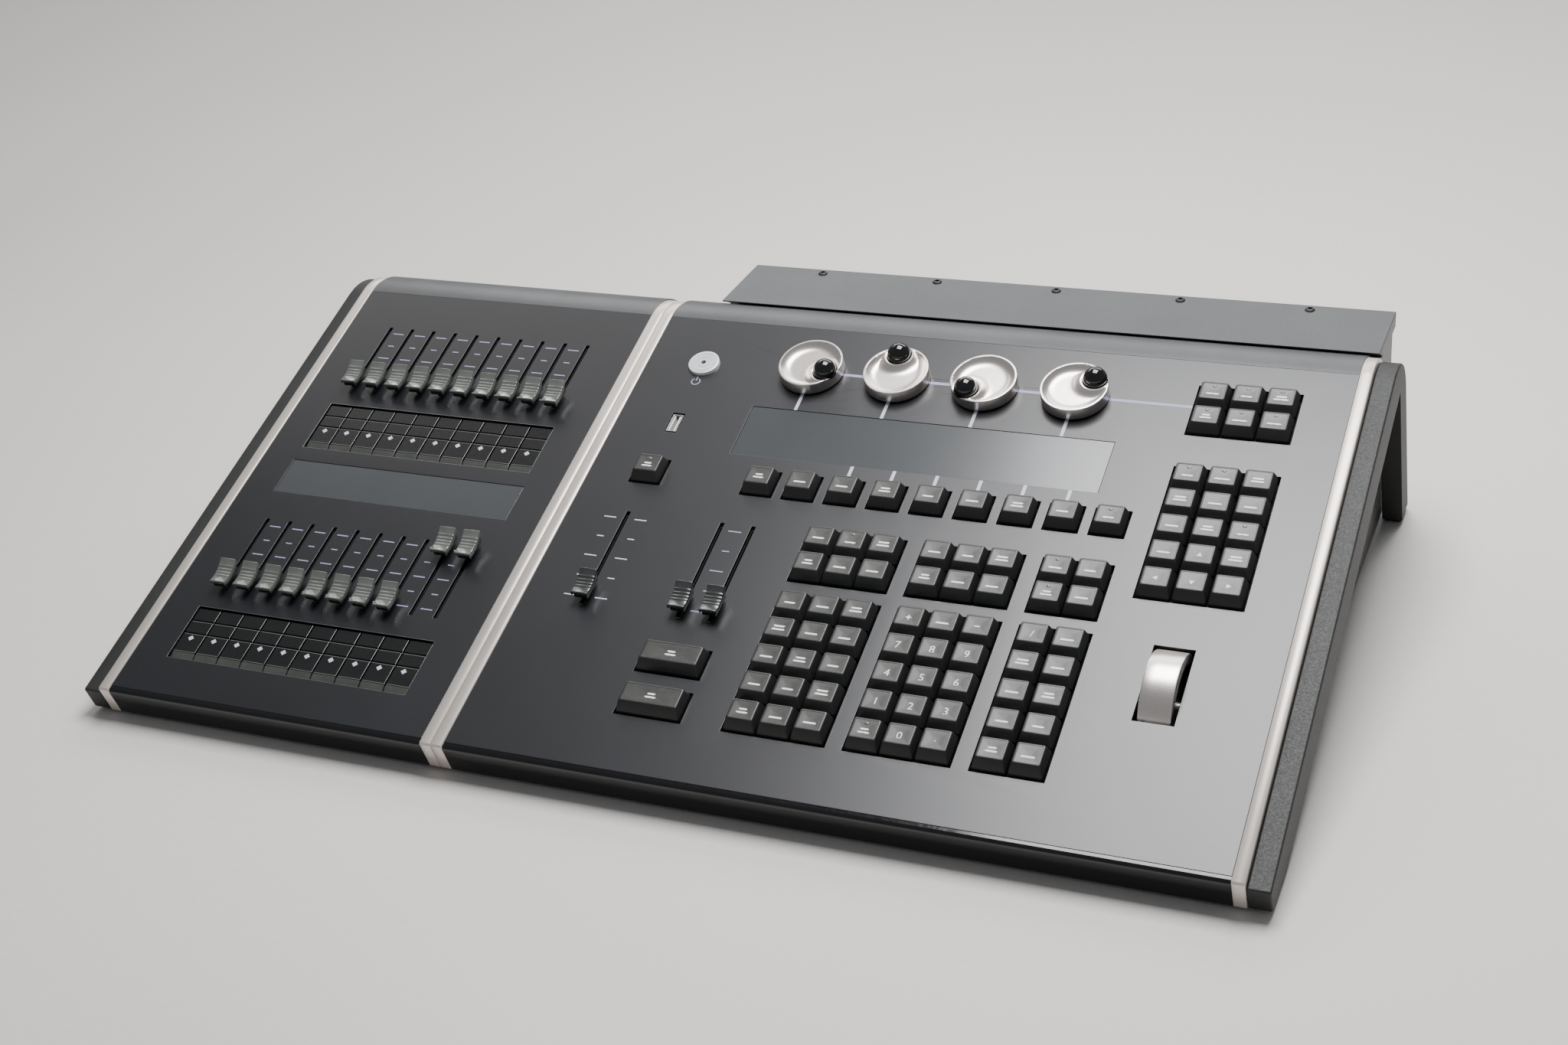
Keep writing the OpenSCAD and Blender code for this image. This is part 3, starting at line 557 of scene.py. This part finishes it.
key_abs = finish("key_abs", "#161716", "#1e1f1d", 10, 0.5, 0.02, 0.42, 0.06, {"IOR": 1.54})
# The lighter grey of the caps' tops is a painted reflection of the light above, not a window.
painted_cap_top_sheen = finish("painted_cap_top_sheen", "#2f302c", "#3d3e39", 5, 0.45, 0.02, 0.36, 0.06, {"IOR": 1.54})
legend_ink = finish("legend_ink", "#ececee", "#f6f6f7", 4, 0.3, 0.004, 0.5, 0.05, {"IOR": 1.5})
lens_acrylic = finish(
    "lens_acrylic", "#5a5c58", "#6a6c67", 3, 0.3, 0.004, 0.12, 0.03, {"IOR": 1.49, "Coat Weight": 0.5}
)


def glyph(text, x, y, size):
    """A plain figure or sign, centred at x, y from the middle of a cap, laid on the dished top."""
    curve = bpy.data.curves.new("figure", "FONT")
    curve.body = text
    curve.size = size
    curve.resolution_u = 3
    shape = bpy.data.objects.new("figure", curve)
    bpy.context.scene.collection.objects.link(shape)
    flat = shape.evaluated_get(bpy.context.evaluated_depsgraph_get()).to_mesh()
    points = [vertex.co.copy() for vertex in flat.vertices]
    facets = [list(polygon.vertices) for polygon in flat.polygons]
    bpy.data.objects.remove(shape)
    middle = (Vector(map(min, *points)) + Vector(map(max, *points))) / 2
    return [(x + p.x - middle.x, y + p.y - middle.y) for p in points], facets


DISH_HALF = 7.2


def print_figure(bm, outline, facets, key_x, key_y):
    """Lays a flat figure on a cap as a thin skin of ink, following the dish."""
    made = [bm.verts.new((key_x + x, key_y + y, dish(x, y, DISH_HALF) + INK)) for x, y in outline]
    for facet in facets:
        bm.faces.new([made[i] for i in facet])


def bar(x, y, w, h):
    """A plain index bar with bevelled ends, in strips that follow the dish."""
    steps = 6
    outline = []
    for i in range(steps + 1):
        px = x - w / 2 + w * i / steps
        reach = h / 2 if 0 < i < steps else h / 4
        outline += [(px, y - reach), (px, y + reach)]
    return outline, [(2 * i, 2 * i + 2, 2 * i + 3, 2 * i + 1) for i in range(steps)]


def arrow(x, y, turn):
    """A small solid triangle that points along `turn`, in degrees."""
    outline = [(x + px, y + py) for px, py in arc(1.7, turn, turn + 360, 3)[:3]]
    return outline, [(0, 1, 2)]


# One row of caps after another, front row first: "-" is a cap with plain index bars, "m" a minus
# sign, and "l", "r", "u" and "d" are arrows. LENSES lists the caps, by column and row, with a lamp.
FIGURES = {
    "number_keys": ["-0.", "123", "456", "789", "+-m"],
    "right_keys": ["--", "--", "--", "--", "/-"],
    "page_keys": ["ldr", "-u-", "---", "---", "---"],
}
LENSES = {
    "number_keys": [(0, 0)],
    "page_keys": [(0, 4), (1, 4), (2, 2)],
    "focus_keys": [(c, r) for c in range(3) for r in range(2)],
    "upper_left": [(1, 1)],
    "upper_right": [(0, 0), (0, 1)],
}
ARROWS = {"l": 180, "d": 270, "r": 0, "u": 90}


def key_block(node, columns, rows, pitch, first, lenses, figures=(), wide=0.0):
    """A block of caps that ride on one CAD body: caps, printed figures and lamp lenses."""
    caps, ink, lamps = bmesh.new(), bmesh.new(), bmesh.new()
    add_block(caps, ink, lamps, columns, rows, pitch, first, lenses, figures, wide)
    make_block(node, caps, ink, lamps)


def make_block(node, caps, ink, lamps):
    """Turns the caps, figures and lenses of one CAD node into pieces."""
    make_piece(node + "_caps", caps, node, [key_abs, painted_cap_top_sheen], [node])
    make_piece(node + "_figures", ink, node, [legend_ink])
    if lamps.verts:
        make_piece(node + "_lenses", lamps, node, [lens_acrylic])
    else:
        lamps.free()


def add_block(caps, ink, lamps, columns, rows, pitch, first, lenses, figures=(), wide=0.0):
    """Adds a block of caps whose front left one is centred at `first`."""
    for column in range(columns):
        for row in range(rows):
            x, y = first[0] + column * pitch, first[1] + row * key_pitch
            key_cap(caps, x, y, wide)
            sign = figures[row][column] if figures else "-"
            lamp = (column, row) in lenses
            mid = CAP_BACK - (1.4 if lamp else 0.7)
            if sign in ARROWS:
                print_figure(ink, *arrow(0, mid, ARROWS[sign]), x, y)
            elif sign == "m":
                print_figure(ink, *bar(0, mid, 3.2, 0.8), x, y)
            elif sign == "+":
                print_figure(ink, *bar(0, mid, 3.2, 0.8), x, y)
                print_figure(ink, *bar(0, mid, 0.8, 3.2), x, y)
            elif sign != "-":
                print_figure(ink, *glyph(sign, 0, mid, 6.6), x, y)
            else:
                length = 6.4 + (3 * column + 5 * row) % 4
                print_figure(ink, *bar(0, mid - 0.9, length, 1.15), x, y)
                if (column + row) % 3 == 0:
                    print_figure(ink, *bar(0, mid + 1.3, length - 1.8, 1.15), x, y)
            if lamp:
                mid_y, floor_z = y + CAP_BACK + 3.6, dish(0, 4, DISH_HALF)
                oval = arc(1.0, 0, 330, 11)
                rings = []
                for s, z in ((1.0, -0.1), (0.9, 0.12), (0.6, 0.3), (0.25, 0.38)):
                    rings.append([(x + 1.5 * s * px, mid_y + s * py, floor_z + z) for px, py in oval])
                loft(lamps, rings)


key_pitch = (span("number_keys")[1].x - span("number_keys")[0].x - key_base) / 2


def front_left(node):
    """Centre of a block's front left cap."""
    low, _ = span(node)
    return low.x + key_base / 2, low.y + key_base / 2


for node, columns, rows in (
    ("number_keys", 3, 5),
    ("left_keys", 3, 5),
    ("right_keys", 2, 5),
    ("page_keys", 3, 5),
    ("focus_keys", 3, 2),
):
    lenses, figures = LENSES.get(node, []), FIGURES.get(node, ())
    key_block(node, columns, rows, key_pitch, front_left(node), lenses, figures)
key_block("screen_keys", 9, 1, screen_pitch, front_left("screen_keys"), [(8, 0)])
key_block("blackout_key", 1, 1, key_pitch, front_left("blackout_key"), [(0, 0)])
for node in ("stop_key", "run_key"):
    low, high = span(node)
    middle = ((low.x + high.x) / 2, (low.y + high.y) / 2)
    key_block(node, 1, 1, key_pitch, middle, [], (), key_pitch)
caps, ink, lamps = bmesh.new(), bmesh.new(), bmesh.new()
upper_row = front_left("upper_keys")[1]
for below, columns, group in (
    ("left_keys", 3, "upper_left"),
    ("number_keys", 3, ""),
    ("right_keys", 2, "upper_right"),
):
    corner = (front_left(below)[0], upper_row)
    add_block(caps, ink, lamps, columns, 2, key_pitch, corner, LENSES.get(group, []))
make_block("upper_keys", caps, ink, lamps)

# ---- Bump keys ----
# Ten long rocking keys under each bank, moulded in black polycarbonate. They lie just below the
# face in one well. Grooves part each key and a white diamond marks its middle. Thin grey lines at
# the grooves and the front step are painted highlights, and the lip that slopes down in front is
# painted a lighter grey as a painted reflection.
polycarbonate = finish(
    "black_polycarbonate", "#0b0c0c", "#131413", 14, 0.4, 0.012, 0.24, 0.05, {"IOR": 1.58}
)
# The lighter grey for the front lip is a painted reflection, not a second resin.
painted_lip_reflection = finish("painted_lip_reflection", "#3c3e3a", "#4b4d48", 10, 0.4, 0.008, 0.3, 0.05, {"IOR": 1.58})
# Grey for thin lines at the step and groove edges: painted highlights where those edges catch light.
painted_edge_highlight = finish("painted_edge_highlight", "#5d5f5b", "#6d6f6a", 6, 0.3, 0.004, 0.45, 0.05, {"IOR": 1.5})
BUMP_TOP = -0.85
BUMP_FOOT = -3.6
GROOVE = -1.5
# From ring LIP_RING on, the lip takes its painted reflection; the lip's resin named below is that.
LIP_RING = 11  # the ring of BUMP_SIDE from which the lip's resin is shown
BUMP_SIDE = [(38.1, -1.3), (37.6, BUMP_TOP), (29.4, BUMP_TOP), (29.1, GROOVE), (28.5, GROOVE)]
BUMP_SIDE += [(28.2, BUMP_TOP), (20.2, BUMP_TOP), (19.9, GROOVE), (19.3, GROOVE), (19.0, BUMP_TOP)]
BUMP_SIDE += [(6.0, BUMP_TOP), (5.4, -0.95), (1.0, -2.3), (0.6, -2.6)]
for bank in ("rear", "front"):
    node = f"bump_keys_{bank}"
    low, high = span(node)
    pitch = span(faders[bank][1])[0].x - span(faders[bank][0])[0].x
    keys, marks, lines = bmesh.new(), bmesh.new(), bmesh.new()
    for fader in faders[bank]:
        x = track(fader)[0].x
        start = low.y - 0.6
        half = pitch / 2 - 0.5
        rings = []
        for along, top in BUMP_SIDE:
            edge = [(-half, BUMP_FOOT), (-half, top - 0.25), (-half + 0.08, top - 0.08), (-half + 0.25, top)]
            edge += [(-px, pz) for px, pz in reversed(edge)]
            rings.append([(x + px, start + along, pz) for px, pz in edge])
        loft(keys, rings, LIP_RING)
        # Thin grey strips at the top of the front step and just in front of each groove: painted highlights.
        for y in (5.9, 18.7, 27.9):
            y += start
            block(lines, (x - half + 0.5, y, BUMP_TOP), (x + half - 0.5, y + 0.3, BUMP_TOP + INK))
        for y in (12, 30):
            y += start
            block(keys, (x - 2.5, y - 2.5, STEM_END), (x + 2.5, y + 2.5, -3))
        spot = [(x - 1 + px, start + 16 + py) for px, py in arc(1.9, 0, 270, 3)]
        loft(marks, [[(px, py, z) for px, py in spot] for z in (BUMP_TOP, BUMP_TOP + INK)])
    make_piece(node + "_pads", keys, node, [polycarbonate, painted_lip_reflection], [node], face, 9)
    make_piece(node + "_marks", marks, node, [white_ink])
    make_piece(node + "_lines", lines, node, [painted_edge_highlight])

# ---- Fader caps ----
# Curved caps moulded in smoked polycarbonate: a low lip in front, a ridged saddle for the
# finger and a tall tail behind, over a dark core that clips on the fader's flat stem.
clear = {"IOR": 1.58, "Transmission Weight": 0.3, "Coat Weight": 1.0}
smoke = finish("smoked_polycarbonate", "#6a6e67", "#7d817a", 9, 0.5, 0.0005, 0.1, 0.02, clear)
clouded = {"IOR": 1.58, "Transmission Weight": 0.05, "Coat Weight": 0.6}
dark_smoke = finish("dark_polycarbonate", "#2c2f2d", "#3b3e3c", 9, 0.5, 0.0005, 0.22, 0.02, clouded)
core_abs = finish("core_abs", "#101112", "#191a1b", 8, 0.4, 0.01, 0.35, 0.05, {"IOR": 1.54})
RIDGES = (-2.6, -0.5, 1.6, 3.7)
CAP_HALF = 8.1


def saddle(y):
    """Height of the cap's top at y from its middle: lip, dip, then a rise that steepens."""
    t = (y + 8.2) / 16.4
    height = 8.6 - 2.6 * t * (1 - t) * 2 + 2.9 * t**2.6
    return height + sum(0.34 * math.exp(-(((y - ridge) / 0.5) ** 2)) for ridge in RIDGES)


def fader_cap(node, shell_material):
    """Shell and core of one cap, in place on its track."""
    low, high = span(node)
    x, y = (low.x + high.x) / 2, (low.y + high.y) / 2
    half = (high.x - low.x) / 2
    shell, core = bmesh.new(), bmesh.new()
    steps = 96
    rings = []
    for i in range(steps + 1):
        along = -CAP_HALF + 2 * CAP_HALF * i / steps
        top = saddle(along)
        end = min(1.0, (CAP_HALF - abs(along)) / 0.5)
        top -= 0.5 * (1 - end) ** 2
        skirt, inner = top - 2.4, half - 1.0
        edge = [(-half, skirt), (-half, top - 0.7), (-half + 0.2, top - 0.2), (-half + 0.7, top)]
        crest = [(0, top + 0.12)]
        under = [(inner, skirt), (inner, top - 1.5), (-inner, top - 1.5), (-inner, skirt)]
        outline = edge + crest + [(-px, pz) for px, pz in reversed(edge)] + under
        rings.append([(x + px, y + along, pz) for px, pz in outline])
    loft(shell, rings)
    wide = half - 1.15
    rings = []
    for along, bottom in ((-7.4, 3.2), (-7.0, 2.9), (7.0, 2.2), (7.6, 2.6)):
        top = saddle(along) - 1.7
        outline = ((-wide, bottom), (-wide, top), (wide, top), (wide, bottom))
        rings.append([(x + px, y + along, pz) for px, pz in outline])
    loft(core, rings)
    block(core, (x - 0.6, y - 2, STEM_END), (x + 0.6, y + 2, 4))
    make_piece(node + "_shell", shell, node, [shell_material], [node])
    make_piece(node + "_core", core, node, [core_abs])


for fader in faders["rear"] + faders["front"]:
    fader_cap(fader, smoke)
for fader in faders["master"]:
    fader_cap(fader, dark_smoke)

# ---- Encoders ----
# Turned aluminium discs plated in satin nickel. A scoop for the finger leaves a thin rim and two
# horns round the pocket of a loose ball, which is cast in black phenolic resin and polished.
nickel = finish("satin_nickel", "#ebe3db", "#f3ede7", 25, 0.25, 0.002, 0.3, 0.04, {"Metallic": 1.0})
phenolic = finish("phenolic_resin", "#060606", "#0c0c0c", 5, 0.6, 0.001, 0.05, 0.015, {"IOR": 1.62})
BALL = 7.0
POCKET = BALL + 0.35
POCKET_FLOOR = 1.6
DISC_TOP = 8.2
HORN = 1.5
RIM = 1.4
SCOOP = 3.4
SHAFT = 3
for i, knob in enumerate(knobs, 1):
    node = f"encoder_{i}"
    points = [onto_face @ vertex.co for vertex in frame["nodes"][node].data.vertices]
    peak = max(points, key=lambda point: point.z)
    offset = Vector((peak.x - knob.x, peak.y - knob.y))
    turn = math.atan2(offset.y, offset.x)
    ball_x, ball_z = offset.length, peak.z - BALL
    disc = bmesh.new()
    rows = []
    for angle in turns(120):  # one ray of points from the ball's middle to the disc's edge
        across = ball_x * math.sin(angle)
        reach = -ball_x * math.cos(angle) + math.sqrt(knob_reach**2 - across**2)
        breaks = [POCKET * k / 6 for k in range(1, 7)] + [POCKET + 0.25, POCKET + 0.6, POCKET + HORN]
        breaks += [POCKET + HORN + 6.0 * (k / 8) ** 1.5 for k in range(1, 9)]
        far = reach - RIM
        near = breaks[-1]
        breaks += [near + (far - near) * (1 - (1 - k / 14) ** 1.7) for k in range(1, 15)]
        breaks += [far + 0.25, reach - 0.4, reach - 0.12, reach]
        row = []
        for r in breaks:
            r = max(0.0, min(r, reach))
            x, y = ball_x + r * math.cos(angle), r * math.sin(angle)
            edge = knob_reach - math.hypot(x, y)
            inside = min(edge - RIM, r - POCKET - HORN)
            t = max(0.0, min(1.0, inside / 6.5))
            z = DISC_TOP - SCOOP * (1 - (1 - t) ** 2.6)
            z -= 0.45 * max(0.0, 1 - edge / 0.5) ** 2
            z -= 0.3 * max(0.0, 1 - abs(r - POCKET) / 0.6) ** 2
            if r < POCKET:
                z = min(z, ball_z - math.sqrt(max(0.0, POCKET**2 - r**2)))
            row.append((x, y, max(z, POCKET_FLOOR)))
        rows.append(row)
    centre_vertex = disc.verts.new((ball_x, 0, max(POCKET_FLOOR, ball_z - POCKET)))
    grid = [[disc.verts.new(point) for point in row] for row in rows]
    foot_ring = []
    for row in rows:
        x, y, _ = row[-1]
        foot_ring.append((disc.verts.new((x, y, 1.0)), disc.verts.new((x * 0.97, y * 0.97, 0.6))))
    for j in range(len(grid)):
        a, b = grid[j - 1], grid[j]
        disc.faces.new((centre_vertex, a[0], b[0]))
        for k in range(len(a) - 1):
            disc.faces.new((a[k], a[k + 1], b[k + 1], b[k]))
        disc.faces.new((a[-1], foot_ring[j - 1][0], foot_ring[j][0], b[-1]))
        disc.faces.new((foot_ring[j - 1][0], foot_ring[j - 1][1], foot_ring[j][1], foot_ring[j][0]))
    disc.faces.new([pair[1] for pair in foot_ring])
    shaft = [(SHAFT * math.cos(a), SHAFT * math.sin(a)) for a in turns(24)]
    loft(disc, [[(x, y, z) for x, y in shaft] for z in (-9.0, 0.7)])
    place = face @ Matrix.Translation(knob) @ Matrix.Rotation(turn, 4, "Z")
    make_piece(node + "_disc", disc, node, [nickel], [node], place)
    ball = bmesh.new()
    bmesh.ops.create_uvsphere(ball, u_segments=40, v_segments=24, radius=BALL)
    bmesh.ops.translate(ball, verts=ball.verts, vec=(ball_x, 0, ball_z))
    make_piece(node + "_ball", ball, node, [phenolic], [], place)

# ---- Level wheel ----
# A turned aluminium wheel, bead blasted and nickel plated, whose rim stands out of the face. The
# edges are chamfered and the sides are dished down to the hub.
low, high = span("level_wheel")
axis = onto_face @ Vector(spins["level_wheel_spin"]["pos_m"])
wheel_r = high.z - axis.z
WHEEL_HALF = 8.75
profile = [(3.0, 14.7), (3.0, 6.5), (9.0, 6.5), (10.0, 7.4), (22.0, 7.4), (23.0, WHEEL_HALF)]
profile += [(wheel_r - 0.9, WHEEL_HALF), (wheel_r - 0.3, WHEEL_HALF - 0.25)]
profile += [(wheel_r - 0.05, WHEEL_HALF - 0.9), (wheel_r, 3.0)]
profile += [(r, -x) for r, x in reversed(profile)]
wheel = bmesh.new()
loft(wheel, [[(x, r * math.cos(a), r * math.sin(a)) for a in turns(120)] for r, x in profile])
place = face @ Matrix.Translation(axis)
make_piece("level_wheel_rim", wheel, "level_wheel", [nickel], ["level_wheel"], place)

# ---- Power button ----
# A silver-painted ABS cap with two moulded grooves. The bare black ABS shows in a small dimple in
# the middle.
flake = {"Metallic": 0.3, "IOR": 1.5}
silver = finish("silver_paint", "#dcdde2", "#e9eaee", 10, 0.3, 0.006, 0.28, 0.05, flake)
low, high = span("power_button")
r = (high.x - low.x) / 2
top = high.z
DIMPLE_RING = 12  # the ring of the profile from which the black ABS shows
profile = [(r, low.z), (r, top - 0.5), (r - 0.2, top - 0.15), (r - 0.6, top), (r - 2.0, top)]
profile += [(r - 2.2, top - 0.35), (r - 2.6, top - 0.35), (r - 2.8, top)]
profile += [(4.6, top - 0.1), (4.4, top - 0.4), (4.0, top - 0.4), (3.8, top - 0.1)]
profile += [(1.5, top - 0.1), (1.2, top - 0.6), (0.5, top - 0.8)]
cap = bmesh.new()
rings = [[(radius * math.cos(a), radius * math.sin(a), z) for a in turns(64)] for radius, z in profile]
loft(cap, rings, DIMPLE_RING)
place = face @ Matrix.Translation(button)
skins = [silver, guide_abs]
make_piece("power_button_cap", cap, "power_button", skins, ["power_button"], place)
